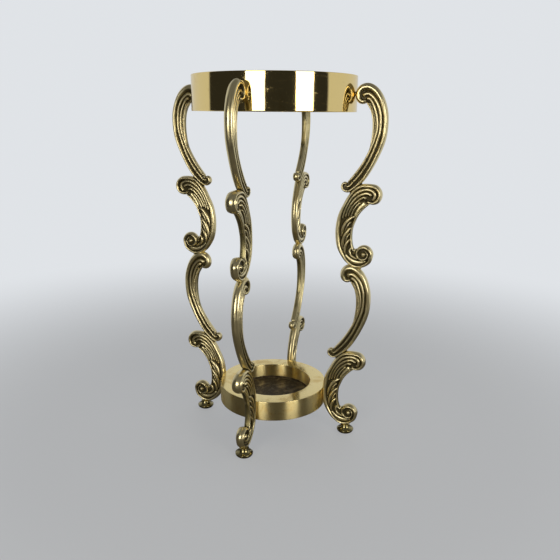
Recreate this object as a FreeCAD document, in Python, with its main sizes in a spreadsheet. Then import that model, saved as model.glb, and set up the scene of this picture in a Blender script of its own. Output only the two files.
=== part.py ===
# Umbrella stand: a polished top ring and a smaller base ring, held by four scrolled legs
# on turned feet, with a drip tray that lifts out of the base ring.
# Millimetres. +Z is up; the origin is on the floor, on the axis of the rings.
# The legs stand on the X and Y axes. Every leg is two brass castings, one on top of the
# other, from one pattern: a long plain scroll that ends on a broader leaf scroll.

import FreeCAD
import Part
import Sketcher
import math
import os

OUT = "parts"
LEGS = (("right", 0), ("back", 90), ("left", 180), ("front", 270))

# Driving dimensions: alias, value, what it measures.
SIZES = (
    ("ring_radius", 106.0, "top ring, outside radius"),
    ("ring_wall", 3.0, "top ring, wall"),
    ("ring_height", 44.0, "top ring, height"),
    ("ring_edge", 0.8, "top ring, rounding of its rims"),
    ("ring_above", 9.8, "top ring, its upper rim over the top of the castings"),
    ("long_reach", 57.5, "long scroll, in to out"),
    ("long_height", 134.6, "long scroll, top to bottom"),
    ("leaf_reach", 59.0, "leaf scroll, in to out"),
    ("leaf_height", 111.5, "leaf scroll, top to bottom"),
    ("long_thickness", 11.0, "long scroll, side to side"),
    ("leaf_thickness", 9.6, "leaf scroll, side to side"),
    ("curl_thickness", 10.0, "rolled ends of the long scroll, side to side"),
    ("volute_thickness", 12.4, "rolled ends of the leaf scroll, side to side"),
    ("eye_rise", 0.9, "the eye of a rolled end, above its face"),
    ("scroll_lap", 14.0, "height shared by a long scroll and the leaf scroll under it"),
    ("casting_lap", 4.1, "height shared by the upper and the lower casting"),
    ("step_in", 11.5, "the lower castings stand this much nearer the axis"),
    ("back_seat", 0.6, "depth of the flat that rests on the base ring"),
    ("seat_gap", 0.05, "between every casting or foot and its seat"),
    ("wall_gap", 0.3, "between a flat head or washer and the round wall that it bears on"),
    ("braze_gap", 0.25, "between the castings of a leg, for the braze"),
    ("foot_height", 11.0, "turned foot"),
    ("foot_radius", 11.6, "turned foot, widest"),
    ("foot_waist", 4.3, "turned foot, height of its widest place"),
    ("foot_sole", 9.4, "turned foot, radius of the flat that stands on the floor"),
    ("foot_neck", 6.4, "turned foot, radius under the leg"),
    ("foot_collar", 1.3, "turned foot, height of the straight part under the leg"),
    ("foot_bun", 4.6, "turned foot, radius of the round under its widest place"),
    ("foot_cove", 7.4, "turned foot, radius of the hollow above its widest place"),
    ("foot_seat", 0.5, "depth of the flat that rests on the foot"),
    ("foot_out", 14.7, "axis of the foot, outside the hook line of the lower casting"),
    ("spigot_radius", 2.5, "threaded spigot of the foot"),
    ("spigot_length", 8.0, "threaded spigot of the foot"),
    ("base_height", 27.0, "base ring, height"),
    ("base_width", 22.0, "base ring, outside radius less inside radius"),
    ("base_wall", 3.0, "base ring, walls and top"),
    ("base_edge", 0.6, "base ring, rounding of its rims"),
    ("base_under", 18.5, "base ring, its underside below the castings' backs"),
    ("ledge_width", 5.0, "base ring, ledge under the tray"),
    ("ledge_height", 2.0, "base ring, thickness of that ledge"),
    ("ledge_rise", 4.0, "base ring, underside of the ledge over that of the ring"),
    ("tray_gap", 0.5, "round the tray"),
    ("tray_sheet", 1.2, "tray, sheet thickness"),
    ("tray_rim", 2.6, "tray, height over all"),
    ("tray_lift", 0.3, "between the tray and its ledge"),
    ("screw_radius", 2.5, "all screws and studs"),
    ("screw_gap", 0.08, "round every screw, stud and spigot"),
    ("screw_reach", 13.0, "screw or stud inside the casting"),
    ("head_radius", 4.6, "head of a top screw"),
    ("head_height", 2.9, "head of a top screw"),
    ("slot_width", 1.1, "slot in the head"),
    ("slot_depth", 1.3, "slot in the head"),
    ("washer_radius", 5.2, "washer, outside"),
    ("washer_sheet", 1.0, "washer, thickness"),
    ("nut_flats", 8.0, "nut, across flats"),
    ("nut_height", 4.0, "nut"),
    ("stud_end", 1.6, "stud beyond the nut"),
)

# Centre lines of the two scrolls: out from the hook's seat, up from the scroll's bottom, and
# the half width there. They are drawn for the reach and height in DRAWN and are stretched to
# the sheet's from there.
DRAWN = {"long": (57.5, 134.6), "leaf": (59.0, 111.5)}
LONG_LINE = (
    (8.5, 120.0, 8.6),
    (19.0, 123.0, 10.4),
    (28.0, 111.5, 11.0),
    (32.3, 93.5, 10.2),
    (32.6, 77.0, 9.6),
    (29.6, 60.0, 8.6),
    (24.0, 44.0, 7.8),
    (14.2, 24.2, 6.8),
    (3.5, 11.4, 6.0),
    (-8.0, 6.5, 5.2),
)
LEAF_LINE = (
    (25.5, 96.8, 12.4),
    (11.2, 91.4, 13.0),
    (1.6, 82.0, 11.4),
    (-4.2, 69.0, 10.8),
    (-7.6, 56.0, 10.7),
    (-9.0, 43.0, 10.5),
    (-7.6, 29.6, 10.2),
    (-3.6, 20.4, 9.6),
    (2.2, 12.9, 8.7),
    (9.8, 7.8, 7.4),
    (17.6, 6.6, 5.4),
    (24.2, 9.6, 2.4),
)
# Rolled ends: centre and radius, in the same frames as the lines.
LONG_ROLLS = ((8.5, 120.0, 9.4), (-8.0, 6.5, 6.5))
LEAF_ROLLS = ((25.5, 96.8, 13.6), (18.8, 18.4, 12.6))
# The castings' backs are nearest the axis at this place of the leaf line.
BACK_OUT, BACK_UP, BACK_HALF = LEAF_LINE[5]
SECTION_POINTS = 16
SECTION_FULLNESS = 0.8

doc = FreeCAD.newDocument("umbrella_stand")
X_AXIS = FreeCAD.Vector(1, 0, 0)
Y_AXIS = FreeCAD.Vector(0, 1, 0)
Z_AXIS = FreeCAD.Vector(0, 0, 1)
pieces = []


def make_sheet():
    """The spreadsheet of driving dimensions."""
    page = doc.addObject("Spreadsheet::Sheet", "Sizes")
    for row, (alias, value, note) in enumerate(SIZES, 1):
        page.set("A%d" % row, note)
        page.set("B%d" % row, "%.6f" % value)
        page.setAlias("B%d" % row, alias)
    doc.recompute()
    return page


sheet = make_sheet()


def size(alias):
    return float(sheet.get(alias))


# ---- heights and radii that several pieces share, as expressions ---------------------

CASTING = "(Sizes.long_height + Sizes.leaf_height - Sizes.scroll_lap)"
LOWER_FOOT = "(Sizes.foot_height - Sizes.foot_seat)"
UPPER_FOOT = "(%s + %s - Sizes.casting_lap)" % (LOWER_FOOT, CASTING)
RING_LEVEL = "(%s + %s + Sizes.ring_above - Sizes.ring_height)" % (UPPER_FOOT, CASTING)
TOP_SCREW_LEVEL = "(%s + Sizes.ring_height / 2)" % RING_LEVEL
LOWER_OUT = "(Sizes.ring_radius - Sizes.step_in)"
FOOT_OUT = "(%s + Sizes.foot_out)" % LOWER_OUT
LEAF_STRETCH = "(Sizes.leaf_height / %.3f)" % DRAWN["leaf"][1]
LEAF_WIDEN = "(Sizes.leaf_reach / %.3f)" % DRAWN["leaf"][0]
BACK_REACH = "(%.3f * min(%s; %s) - %.3f * %s)" % (
    BACK_HALF, LEAF_STRETCH, LEAF_WIDEN, BACK_OUT, LEAF_WIDEN)
BASE_RADIUS = "(%s - %s + Sizes.back_seat)" % (LOWER_OUT, BACK_REACH)
BASE_LEVEL = "(%s + %.3f * %s - Sizes.base_under)" % (LOWER_FOOT, BACK_UP, LEAF_STRETCH)
STUD_LEVEL = "(%s + Sizes.base_height / 2)" % BASE_LEVEL
# A flat disc inside a round wall touches it at its own edge, short of the wall's radius.
HEAD_SEAT = "(sqrt((Sizes.ring_radius - Sizes.ring_wall)^2 - Sizes.head_radius^2) - Sizes.wall_gap)"
WASHER_SEAT = "(sqrt((%s - Sizes.base_wall)^2 - Sizes.washer_radius^2) - Sizes.wall_gap)" % (
    BASE_RADIUS)


def bind(thing, **expressions):
    """Ties properties of an object to expressions in the sheet's sizes."""
    for name, expression in expressions.items():
        thing.setExpression(name, expression)


def stand(thing, turn, out, up, lying=False):
    """Puts an object at a radius and a height on the leg at that angle, its own Z up, or
    outwards when it lies."""
    rotation = FreeCAD.Rotation(Z_AXIS, turn)
    if lying:
        rotation = rotation.multiply(FreeCAD.Rotation(Y_AXIS, 90))
    thing.Placement = FreeCAD.Placement(FreeCAD.Vector(), rotation)
    across = round(math.cos(math.radians(turn)))
    along = round(math.sin(math.radians(turn)))
    thing.setExpression("Placement.Base.x", "%s * %d" % (out, across))
    thing.setExpression("Placement.Base.y", "%s * %d" % (out, along))
    thing.setExpression("Placement.Base.z", up)


# ---- bodies and their sketches --------------------------------------------------------


def make_body(label):
    body = doc.addObject("PartDesign::Body", label)
    body.Label = label
    pieces.append(body)
    return body


def origin_feature(body, role):
    for feature in body.Origin.OriginFeatures:
        if feature.Role == role:
            return feature
    raise ValueError(role)


def value_of(terms):
    """The number that a coordinate such as 'ring_radius - ring_wall' stands for."""
    total = 0.0
    sign = 1
    for word in terms.split():
        if word in ("+", "-"):
            sign = 1 if word == "+" else -1
        else:
            name, slash, share = word.partition("/")
            total += sign * size(name) / float(share or 1)
    return total


def as_expression(terms):
    words = [word if word in ("+", "-") else "Sizes." + word for word in terms.split()]
    return " ".join(words)


def fix_coordinate(sketch, kind, side, point, terms):
    """Ties one coordinate of a side's point to the sheet; '0' puts it on the sketch's axis."""
    if terms == "0":
        axis = -2 if kind == "DistanceX" else -1
        sketch.addConstraint(Sketcher.Constraint("PointOnObject", side, point, axis))
        return
    if terms.startswith("- "):
        terms = terms[2:]
        ends = (side, point, -1, 1)
    else:
        ends = (-1, 1, side, point)
    index = sketch.addConstraint(Sketcher.Constraint(kind, *ends, value_of(terms)))
    sketch.setExpression("Constraints[%d]" % index, as_expression(terms))


def signed_value(terms):
    if terms == "0":
        return 0.0
    if terms.startswith("- "):
        return -value_of(terms[2:])
    return value_of(terms)


def make_sketch(body, role, name):
    sketch = body.newObject("Sketcher::SketchObject", name)
    sketch.AttachmentSupport = (origin_feature(body, role), [""])
    sketch.MapMode = "FlatFace"
    return sketch


def add_arc(sketch, start, end, radius, hollow):
    """An arc between two corners; a hollow one bends to the left of the way it runs."""
    chord = end - start
    aside = FreeCAD.Vector(-chord.y, chord.x, 0).normalize()
    depth = math.sqrt(radius ** 2 - (chord.Length / 2) ** 2)
    centre = (start + end) * 0.5 + aside * (-depth if hollow else depth)
    first = math.atan2(start.y - centre.y, start.x - centre.x)
    last = math.atan2(end.y - centre.y, end.x - centre.x)
    if hollow:
        first, last = last, first
    circle = Part.Circle(centre, Z_AXIS, radius)
    return sketch.addGeometry(Part.ArcOfCircle(circle, first, last), False)


def outline(body, role, name, corners, bends=()):
    """A closed outline, counter-clockwise, through corners given as sums of sizes. Each
    bend is (side, radius, hollow): that side is an arc instead of a line."""
    sketch = make_sketch(body, role, name)
    places = [FreeCAD.Vector(signed_value(x), signed_value(y), 0) for x, y in corners]
    arcs = {side: (radius, hollow) for side, radius, hollow in bends}
    for side, start in enumerate(places):
        end = places[(side + 1) % len(places)]
        if side in arcs:
            radius, hollow = arcs[side]
            add_arc(sketch, start, end, size(radius), hollow)
            index = sketch.addConstraint(Sketcher.Constraint("Radius", side, size(radius)))
            sketch.setExpression("Constraints[%d]" % index, "Sizes." + radius)
        else:
            sketch.addGeometry(Part.LineSegment(start, end), False)
    starts = [2 if side in arcs and arcs[side][1] else 1 for side in range(len(places))]
    for side, (x, y) in enumerate(corners):
        before = side - 1 if side else len(places) - 1
        end = 3 - starts[before]
        sketch.addConstraint(Sketcher.Constraint("Coincident", before, end, side, starts[side]))
        fix_coordinate(sketch, "DistanceX", side, starts[side], x)
        fix_coordinate(sketch, "DistanceY", side, starts[side], y)
    return sketch


def revolve(body, sketch):
    turned = body.newObject("PartDesign::Revolution", sketch.Name + "_turned")
    turned.Profile = sketch
    turned.ReferenceAxis = (sketch, ["V_Axis"])
    turned.Angle = 360
    doc.recompute()
    return turned


def cut(body, sketch, depth=None):
    """Cuts a sketch's shape out along its plane's normal: to a depth, or right out."""
    before = body.Shape.Volume
    pocket = body.newObject("PartDesign::Pocket", sketch.Name + "_cut")
    pocket.Profile = sketch
    pocket.Reversed = True
    if depth:
        pocket.setExpression("Length", depth)
    else:
        pocket.Type = "ThroughAll"
    doc.recompute()
    if body.Shape.Volume >= before:
        raise ValueError(sketch.Name + " cuts nothing")
    return pocket


def repeat_round(body, feature):
    ring = body.newObject("PartDesign::PolarPattern", feature.Name + "_each")
    ring.Originals = [feature]
    ring.Axis = (origin_feature(body, "Z_Axis"), [""])
    ring.Angle = 360
    ring.Occurrences = len(LEGS)
    body.Tip = ring
    doc.recompute()


def round_rims(body, feature, radius, rims):
    """Rounds the circular edges of a turned feature that have these radii and heights."""
    names = []
    for number, edge in enumerate(feature.Shape.Edges, 1):
        if not isinstance(edge.Curve, Part.Circle):
            continue
        for rim, level in rims:
            if abs(edge.Curve.Radius - rim) < 0.001 and abs(edge.Curve.Center.z - level) < 0.001:
                names.append("Edge%d" % number)
    fillet = body.newObject("PartDesign::Fillet", feature.Name + "_rims")
    fillet.Base = (feature, names)
    fillet.setExpression("Radius", radius)
    doc.recompute()


def screw_holes(body, name, level):
    """A hole for a screw through the wall at every leg, at a height over the body's origin."""
    sketch = make_sketch(body, "YZ_Plane", name)
    radius = size("screw_radius") + size("screw_gap")
    circle = Part.Circle(FreeCAD.Vector(0, value_of(level), 0), Z_AXIS, radius)
    sketch.addGeometry(circle, False)
    index = sketch.addConstraint(Sketcher.Constraint("Radius", 0, radius))
    sketch.setExpression("Constraints[%d]" % index, "Sizes.screw_radius + Sizes.screw_gap")
    sketch.addConstraint(Sketcher.Constraint("PointOnObject", 0, 3, -2))
    index = sketch.addConstraint(Sketcher.Constraint("DistanceY", -1, 1, 0, 3, value_of(level)))
    sketch.setExpression("Constraints[%d]" % index, as_expression(level))
    return sketch


# ---- rings and tray -------------------------------------------------------------------


def make_top_ring():
    body = make_body("top_ring")
    inner = "ring_radius - ring_wall"
    band = outline(body, "XZ_Plane", "ring_band", (
        (inner, "0"),
        ("ring_radius", "0"),
        ("ring_radius", "ring_height"),
        (inner, "ring_height"),
    ))
    turned = revolve(body, band)
    rims = [(value_of(r), z) for r in ("ring_radius", inner) for z in (0, size("ring_height"))]
    round_rims(body, turned, "Sizes.ring_edge", rims)
    holes = screw_holes(body, "ring_holes", "ring_height/2")
    repeat_round(body, cut(body, holes))
    bind(body, **{"Placement.Base.z": RING_LEVEL})


def solved_radius():
    """The base ring's outside radius: where the backs of the lower castings are."""
    tall = size("leaf_height") / DRAWN["leaf"][1]
    wide = size("leaf_reach") / DRAWN["leaf"][0]
    reach = BACK_HALF * min(tall, wide) - BACK_OUT * wide
    return size("ring_radius") - size("step_in") - reach + size("back_seat")


def add_base_radius():
    """Keeps the base ring's radius in the sheet too, so that its sketches can use it."""
    row = len(SIZES) + 1
    sheet.set("A%d" % row, "base ring, outside radius, from the castings' backs")
    sheet.set("B%d" % row, "%.6f" % solved_radius())
    sheet.setAlias("B%d" % row, "base_radius")
    doc.recompute()


def make_base_ring():
    """An upturned channel with a ledge inside for the tray, open underneath."""
    body = make_body("base_ring")
    hole = "base_radius - base_width"
    under = "ledge_rise + ledge_height"
    channel = outline(body, "XZ_Plane", "base_channel", (
        ("base_radius - base_wall", "0"),
        ("base_radius", "0"),
        ("base_radius", "base_height"),
        (hole, "base_height"),
        (hole, under),
        (hole + " - ledge_width", under),
        (hole + " - ledge_width", "ledge_rise"),
        (hole + " + base_wall", "ledge_rise"),
        (hole + " + base_wall", "base_height - base_wall"),
        ("base_radius - base_wall", "base_height - base_wall"),
    ))
    turned = revolve(body, channel)
    tall = size("base_height")
    rims = ((size("base_radius"), 0), (size("base_radius"), tall), (value_of(hole), tall))
    round_rims(body, turned, "Sizes.base_edge", rims)
    sketch = screw_holes(body, "base_holes", "base_height/2")
    repeat_round(body, stud_cut(body, sketch))
    bind(body, **{"Placement.Base.z": BASE_LEVEL})


def stud_cut(body, sketch):
    """The stud holes go through the outer wall only, from a plane inside the channel."""
    start = "base_radius - base_wall - base_wall"
    sketch.AttachmentOffset = FreeCAD.Placement(FreeCAD.Vector(0, 0, value_of(start)), FreeCAD.Rotation())
    sketch.setExpression("AttachmentOffset.Base.z", as_expression(start))
    return cut(body, sketch)


def make_drip_tray():
    body = make_body("drip_tray")
    edge = "base_radius - base_width - tray_gap"
    dish = outline(body, "XZ_Plane", "tray_dish", (
        ("0", "0"),
        (edge, "0"),
        (edge, "tray_rim"),
        (edge + " - tray_sheet", "tray_rim"),
        (edge + " - tray_sheet", "tray_sheet"),
        ("0", "tray_sheet"),
    ))
    turned = revolve(body, dish)
    round_rims(body, turned, "Sizes.tray_sheet / 2", ((value_of(edge), 0),))
    level = "%s + Sizes.ledge_rise + Sizes.ledge_height + Sizes.tray_lift" % BASE_LEVEL
    bind(body, **{"Placement.Base.z": level})


# ---- feet and fasteners ---------------------------------------------------------------


def make_foot(leg, turn):
    """A bun foot turned in one piece with the threaded spigot that screws into the casting."""
    body = make_body(leg + "_foot")
    top = "foot_height"
    profile = outline(body, "XZ_Plane", leg + "_foot_profile", (
        ("0", "0"),
        ("foot_sole", "0"),
        ("foot_radius", "foot_waist"),
        ("foot_neck", top + " - foot_collar"),
        ("foot_neck", top),
        ("spigot_radius", top),
        ("spigot_radius", top + " + spigot_length"),
        ("0", top + " + spigot_length"),
    ), bends=((1, "foot_bun", False), (2, "foot_cove", True)))
    revolve(body, profile)
    stand(body, turn, FOOT_OUT, "0")


def make_top_screw(leg, turn):
    """A slotted screw whose head lies inside the top ring; its own Z points outwards."""
    body = make_body(leg + "_top_screw")
    end = "head_height + ring_wall + screw_reach"
    profile = outline(body, "XZ_Plane", leg + "_top_screw_profile", (
        ("0", "0"),
        ("head_radius", "0"),
        ("head_radius", "head_height"),
        ("screw_radius", "head_height"),
        ("screw_radius", end),
        ("0", end),
    ))
    revolve(body, profile)
    slot = outline(body, "XY_Plane", leg + "_top_screw_slot", (
        ("- head_radius", "- slot_width/2"),
        ("head_radius", "- slot_width/2"),
        ("head_radius", "slot_width/2"),
        ("- head_radius", "slot_width/2"),
    ))
    cut(body, slot, "Sizes.slot_depth")
    stand(body, turn, "(%s - Sizes.head_height)" % HEAD_SEAT, TOP_SCREW_LEVEL, lying=True)


def make_base_stud(leg, turn):
    """A threaded stud from the casting through the wall of the base ring."""
    stud = doc.addObject("Part::Cylinder", leg + "_base_stud")
    inner = "(%s - Sizes.washer_sheet - Sizes.nut_height - Sizes.stud_end)" % WASHER_SEAT
    length = "%s + Sizes.screw_reach - %s" % (BASE_RADIUS, inner)
    bind(stud, Radius="Sizes.screw_radius", Height=length)
    stand(stud, turn, inner, STUD_LEVEL, lying=True)
    pieces.append(stud)


def make_base_washer(leg, turn):
    body = make_body(leg + "_base_washer")
    profile = outline(body, "XZ_Plane", leg + "_base_washer_profile", (
        ("screw_radius + screw_gap", "0"),
        ("washer_radius", "0"),
        ("washer_radius", "washer_sheet"),
        ("screw_radius + screw_gap", "washer_sheet"),
    ))
    revolve(body, profile)
    stand(body, turn, "(%s - Sizes.washer_sheet)" % WASHER_SEAT, STUD_LEVEL, lying=True)


def make_base_nut(leg, turn):
    blank = doc.addObject("Part::Prism", leg + "_nut_blank")
    blank.Polygon = 6
    bind(blank, Circumradius="Sizes.nut_flats / sqrt(3)", Height="Sizes.nut_height")
    bore = doc.addObject("Part::Cylinder", leg + "_nut_bore")
    bind(bore, Radius="Sizes.screw_radius + Sizes.screw_gap", Height="Sizes.nut_height")
    nut = doc.addObject("Part::Cut", leg + "_base_nut")
    nut.Base = blank
    nut.Tool = bore
    inner = "(%s - Sizes.washer_sheet - Sizes.seat_gap - Sizes.nut_height)" % WASHER_SEAT
    stand(nut, turn, inner, STUD_LEVEL, lying=True)
    pieces.append(nut)


# ---- the castings ---------------------------------------------------------------------


def fitted(line, kind):
    """The line's places and half widths, stretched to the sheet's reach and height."""
    reach, height = DRAWN[kind]
    wide = size(kind + "_reach") / reach
    tall = size(kind + "_height") / height
    return [(x * wide, z * tall, half * min(wide, tall)) for x, z, half in line]


def section(place, half, thick, along):
    """A closed rounded section across the line, fuller than an ellipse."""
    across = FreeCAD.Vector(-along.z, 0, along.x)
    points = []
    for step in range(SECTION_POINTS):
        angle = 2 * math.pi * step / SECTION_POINTS
        u = math.copysign(abs(math.cos(angle)) ** SECTION_FULLNESS, math.cos(angle))
        v = math.copysign(abs(math.sin(angle)) ** SECTION_FULLNESS, math.sin(angle))
        points.append(place + across * (half * u) + Y_AXIS * (thick * v))
    curve = Part.BSplineCurve()
    curve.interpolate(Points=points, PeriodicFlag=True)
    return Part.Wire([curve.toShape()])


def scroll_body(stations, thickness):
    """One smooth skin through a section at every place of the centre line."""
    line = Part.BSplineCurve()
    places = [FreeCAD.Vector(x, 0, z) for x, z, half in stations]
    line.interpolate(places)
    wires = []
    for place, (x, z, half) in zip(places, stations):
        along = line.tangent(line.parameter(place))[0]
        wires.append(section(place, half, thickness / 2, along.normalize()))
    return Part.makeLoft(wires, True, False)


def rolled_end(x, z, radius, thickness):
    """A drum with rounded rims and a raised eye on both faces, lying in the leg's plane."""
    half = thickness / 2
    turn = half * 0.6
    middle = FreeCAD.Vector(x, 0, z)

    def at(out, up):
        return middle + X_AXIS * out + Y_AXIS * up

    def rim(sign):
        bend = turn * math.sqrt(0.5)
        corner = at(radius - turn + bend, sign * (half - turn + bend))
        ends = (at(radius, sign * (half - turn)), at(radius - turn, sign * half))
        return Part.Arc(ends[0], corner, ends[1])

    edges = (
        Part.LineSegment(at(0, -half), at(radius - turn, -half)),
        rim(-1),
        Part.LineSegment(at(radius, turn - half), at(radius, half - turn)),
        rim(1),
        Part.LineSegment(at(radius - turn, half), at(0, half)),
        Part.LineSegment(at(0, half), at(0, -half)),
    )
    outside = Part.Wire(Part.__sortEdges__([edge.toShape() for edge in edges]))
    drum = Part.Face(outside).revolve(middle, Y_AXIS, 360)
    return drum.fuse(Part.makeSphere(half + size("eye_rise"), middle))


def scroll(kind, line, rolls, body_thickness, roll_thickness):
    """A scroll's skin and its two rolled ends."""
    shapes = [scroll_body(fitted(line, kind), size(body_thickness))]
    for x, z, radius in fitted(rolls, kind):
        shapes.append(rolled_end(x, z, radius, size(roll_thickness)))
    return shapes


def pattern_shape():
    """The pattern of every casting: the hook's seat is at X = 0 and the bottom at Z = 0."""
    rise = FreeCAD.Vector(0, 0, size("leaf_height") - size("scroll_lap"))
    leaf = scroll("leaf", LEAF_LINE, LEAF_ROLLS, "leaf_thickness", "volute_thickness")
    long_scroll = scroll("long", LONG_LINE, LONG_ROLLS, "long_thickness", "curl_thickness")
    raised = [shape.translated(rise) for shape in long_scroll]
    return leaf[0].multiFuse(leaf[1:] + raised)


def make_blank(name, shape, out, up):
    blank = doc.addObject("Part::Feature", name)
    blank.Shape = shape
    stand(blank, 0, out, up)
    return blank


def mill(name, out, low, height):
    """A square tool that cuts everything from the axis out to a radius."""
    tool = doc.addObject("Part::Box", name)
    bind(tool, Length=out, Width="Sizes.volute_thickness * 2", Height=height)
    tool.setExpression("Placement.Base.y", "-Sizes.volute_thickness")
    tool.setExpression("Placement.Base.z", low)
    return tool


def upright(name, radius, height):
    """A round tool on the floor, on the axis of the foot."""
    tool = doc.addObject("Part::Cylinder", name)
    bind(tool, Radius=radius, Height=height)
    stand(tool, 0, FOOT_OUT, "0")
    return tool


def drill(name, length, level):
    """A drill for a screw, from the axis of the stand outwards."""
    tool = doc.addObject("Part::Cylinder", name)
    bind(tool, Radius="Sizes.screw_radius + Sizes.screw_gap", Height=length)
    stand(tool, 0, "0", level, lying=True)
    return tool


def take_away(name, base, tool):
    """Base less tool, which must remove something."""
    result = doc.addObject("Part::Cut", name)
    result.Base = base
    result.Tool = tool
    doc.recompute()
    if result.Shape.Volume > base.Shape.Volume - 0.5:
        raise ValueError(name + " removes nothing")
    return result


def make_castings():
    """Flats are milled where the castings meet the rings and the feet; the top of a lower
    casting is coped to the belly of the upper one."""
    shape = pattern_shape()
    upper = make_blank("upper_blank", shape, "Sizes.ring_radius", UPPER_FOOT)
    lower = make_blank("lower_blank", shape, LOWER_OUT, LOWER_FOOT)
    coping = make_blank("coping", shape, "Sizes.ring_radius", UPPER_FOOT + " - Sizes.braze_gap")
    doc.recompute()
    ring_flat = mill("ring_flat", "Sizes.ring_radius + Sizes.seat_gap", RING_LEVEL,
                     "Sizes.ring_height")
    base_flat = mill("base_flat", "%s + Sizes.seat_gap" % BASE_RADIUS, BASE_LEVEL,
                     "Sizes.base_height")
    foot_flat = upright("foot_flat", "Sizes.foot_radius * 2",
                        "Sizes.foot_height + Sizes.seat_gap")
    spigot_drill = upright("spigot_drill", "Sizes.spigot_radius + Sizes.screw_gap",
                           "Sizes.foot_height + Sizes.spigot_length + 1")
    ring_drill = drill("ring_drill", "Sizes.ring_radius + Sizes.screw_reach + 1",
                       TOP_SCREW_LEVEL)
    base_drill = drill("base_drill", "%s + Sizes.screw_reach + 1" % BASE_RADIUS, STUD_LEVEL)
    doc.recompute()
    upper = take_away("upper_milled", upper, ring_flat)
    lower = take_away("lower_coped", lower, coping)
    lower = take_away("lower_milled", lower, base_flat)
    lower = take_away("lower_levelled", lower, foot_flat)
    lower = take_away("lower_bored", lower, spigot_drill)
    for leg, turn in LEGS:
        finish_casting(leg + "_upper_casting", turn, upper, ring_drill)
        finish_casting(leg + "_lower_casting", turn, lower, base_drill)


def finish_casting(label, turn, milled, drill_tool):
    casting = take_away(label, milled, drill_tool)
    casting.Placement = FreeCAD.Placement(FreeCAD.Vector(), FreeCAD.Rotation(Z_AXIS, turn))
    pieces.append(casting)


# ---- the whole stand ------------------------------------------------------------------


def check():
    """Stops on any failed object or any sub-part that isn't one valid solid."""
    for thing in doc.Objects:
        if "Invalid" in thing.State or "Error" in thing.State:
            raise ValueError(thing.Label + " failed")
    for piece in pieces:
        shape = piece.Shape
        if shape.isNull() or not shape.isValid() or len(shape.Solids) != 1:
            raise ValueError("%s: %d solids" % (piece.Label, len(shape.Solids)))


def write():
    os.makedirs(OUT, exist_ok=True)
    for piece in pieces:
        piece.Shape.exportStep(os.path.join(OUT, piece.Label + ".step"))
        print("%-22s %10.1f mm3" % (piece.Label, piece.Shape.Volume))


add_base_radius()
make_top_ring()
make_base_ring()
make_drip_tray()
make_castings()
for name, angle in LEGS:
    make_foot(name, angle)
    make_top_screw(name, angle)
    make_base_stud(name, angle)
    make_base_washer(name, angle)
    make_base_nut(name, angle)
doc.recompute()
check()
write()
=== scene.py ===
import bpy
import math
import numpy as np
from mathutils import Matrix, Vector


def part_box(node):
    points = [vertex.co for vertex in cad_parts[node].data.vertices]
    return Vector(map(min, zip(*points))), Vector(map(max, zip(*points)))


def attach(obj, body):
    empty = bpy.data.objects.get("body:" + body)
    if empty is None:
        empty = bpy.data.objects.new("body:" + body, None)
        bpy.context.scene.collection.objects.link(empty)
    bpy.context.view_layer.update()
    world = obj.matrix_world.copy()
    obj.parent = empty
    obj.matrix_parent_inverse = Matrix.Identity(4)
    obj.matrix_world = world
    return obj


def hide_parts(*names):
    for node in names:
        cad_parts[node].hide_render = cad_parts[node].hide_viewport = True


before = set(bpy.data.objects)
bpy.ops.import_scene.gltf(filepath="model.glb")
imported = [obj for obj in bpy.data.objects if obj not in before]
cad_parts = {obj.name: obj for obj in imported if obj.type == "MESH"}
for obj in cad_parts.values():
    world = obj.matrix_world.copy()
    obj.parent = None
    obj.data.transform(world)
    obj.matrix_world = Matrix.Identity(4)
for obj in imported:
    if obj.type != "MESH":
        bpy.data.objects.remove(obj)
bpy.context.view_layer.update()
legTurns = {"right": 0, "back": 90, "left": 180, "front": 270}
ringLow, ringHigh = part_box("top_ring")
baseLow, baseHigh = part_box("base_ring")
trayLow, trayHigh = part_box("drip_tray")


# node helpers

def addNode(tree, kind, inputs=None, **settings):
    node = tree.nodes.new(kind)
    for name, value in settings.items():
        setattr(node, name, value)
    for key, value in (inputs or {}).items():
        if isinstance(value, bpy.types.NodeSocket):
            tree.links.new(value, node.inputs[key])
        else:
            node.inputs[key].default_value = value
    return node


def calc(tree, operation, *values, clamp=False):
    node = addNode(tree, "ShaderNodeMath", dict(enumerate(values)), operation=operation)
    node.use_clamp = clamp
    return node.outputs[0]


def plus(tree, *values, clamp=False):
    return calc(tree, "ADD", *values, clamp=clamp)


def minus(tree, *values, clamp=False):
    return calc(tree, "SUBTRACT", *values, clamp=clamp)


def times(tree, *values):
    return calc(tree, "MULTIPLY", *values)


def remap(tree, value, low, high, toLow=0.0, toHigh=1.0):
    ends = {"Value": value, "From Min": low, "From Max": high, "To Min": toLow, "To Max": toHigh}
    return addNode(tree, "ShaderNodeMapRange", ends, interpolation_type="SMOOTHSTEP").outputs[0]


def blendColour(tree, factor, first, second):
    node = addNode(tree, "ShaderNodeMix", {0: factor, 6: first, 7: second}, data_type="RGBA")
    return node.outputs[2]


def noise(tree, where, scale, detail, **shape):
    sockets = {"Vector": where, "Scale": scale, "Detail": detail, **shape}
    return addNode(tree, "ShaderNodeTexNoise", sockets).outputs[0]


def namedValue(tree, name):
    kind = "GeometryNodeInputNamedAttribute"
    return addNode(tree, kind, {"Name": name}, data_type="FLOAT").outputs[0]


def splineFrom(tree, lines, length):
    # a smooth curve through the lines' points, with a point at every length
    curve = addNode(tree, "GeometryNodeMeshToCurve", {"Mesh": lines}).outputs[0]
    curve = addNode(tree, "GeometryNodeCurveSplineType", {"Curve": curve},
                    spline_type="CATMULL_ROM").outputs[0]
    spacing = {"Curve": curve, "Length": length}
    return addNode(tree, "GeometryNodeResampleCurve", spacing, mode="LENGTH").outputs[0]


def realized(tree, mesh, material):
    mesh = addNode(tree, "GeometryNodeRealizeInstances", {"Geometry": mesh}).outputs[0]
    painted = {"Geometry": mesh, "Material": material}
    return addNode(tree, "GeometryNodeSetMaterial", painted).outputs[0]


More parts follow.
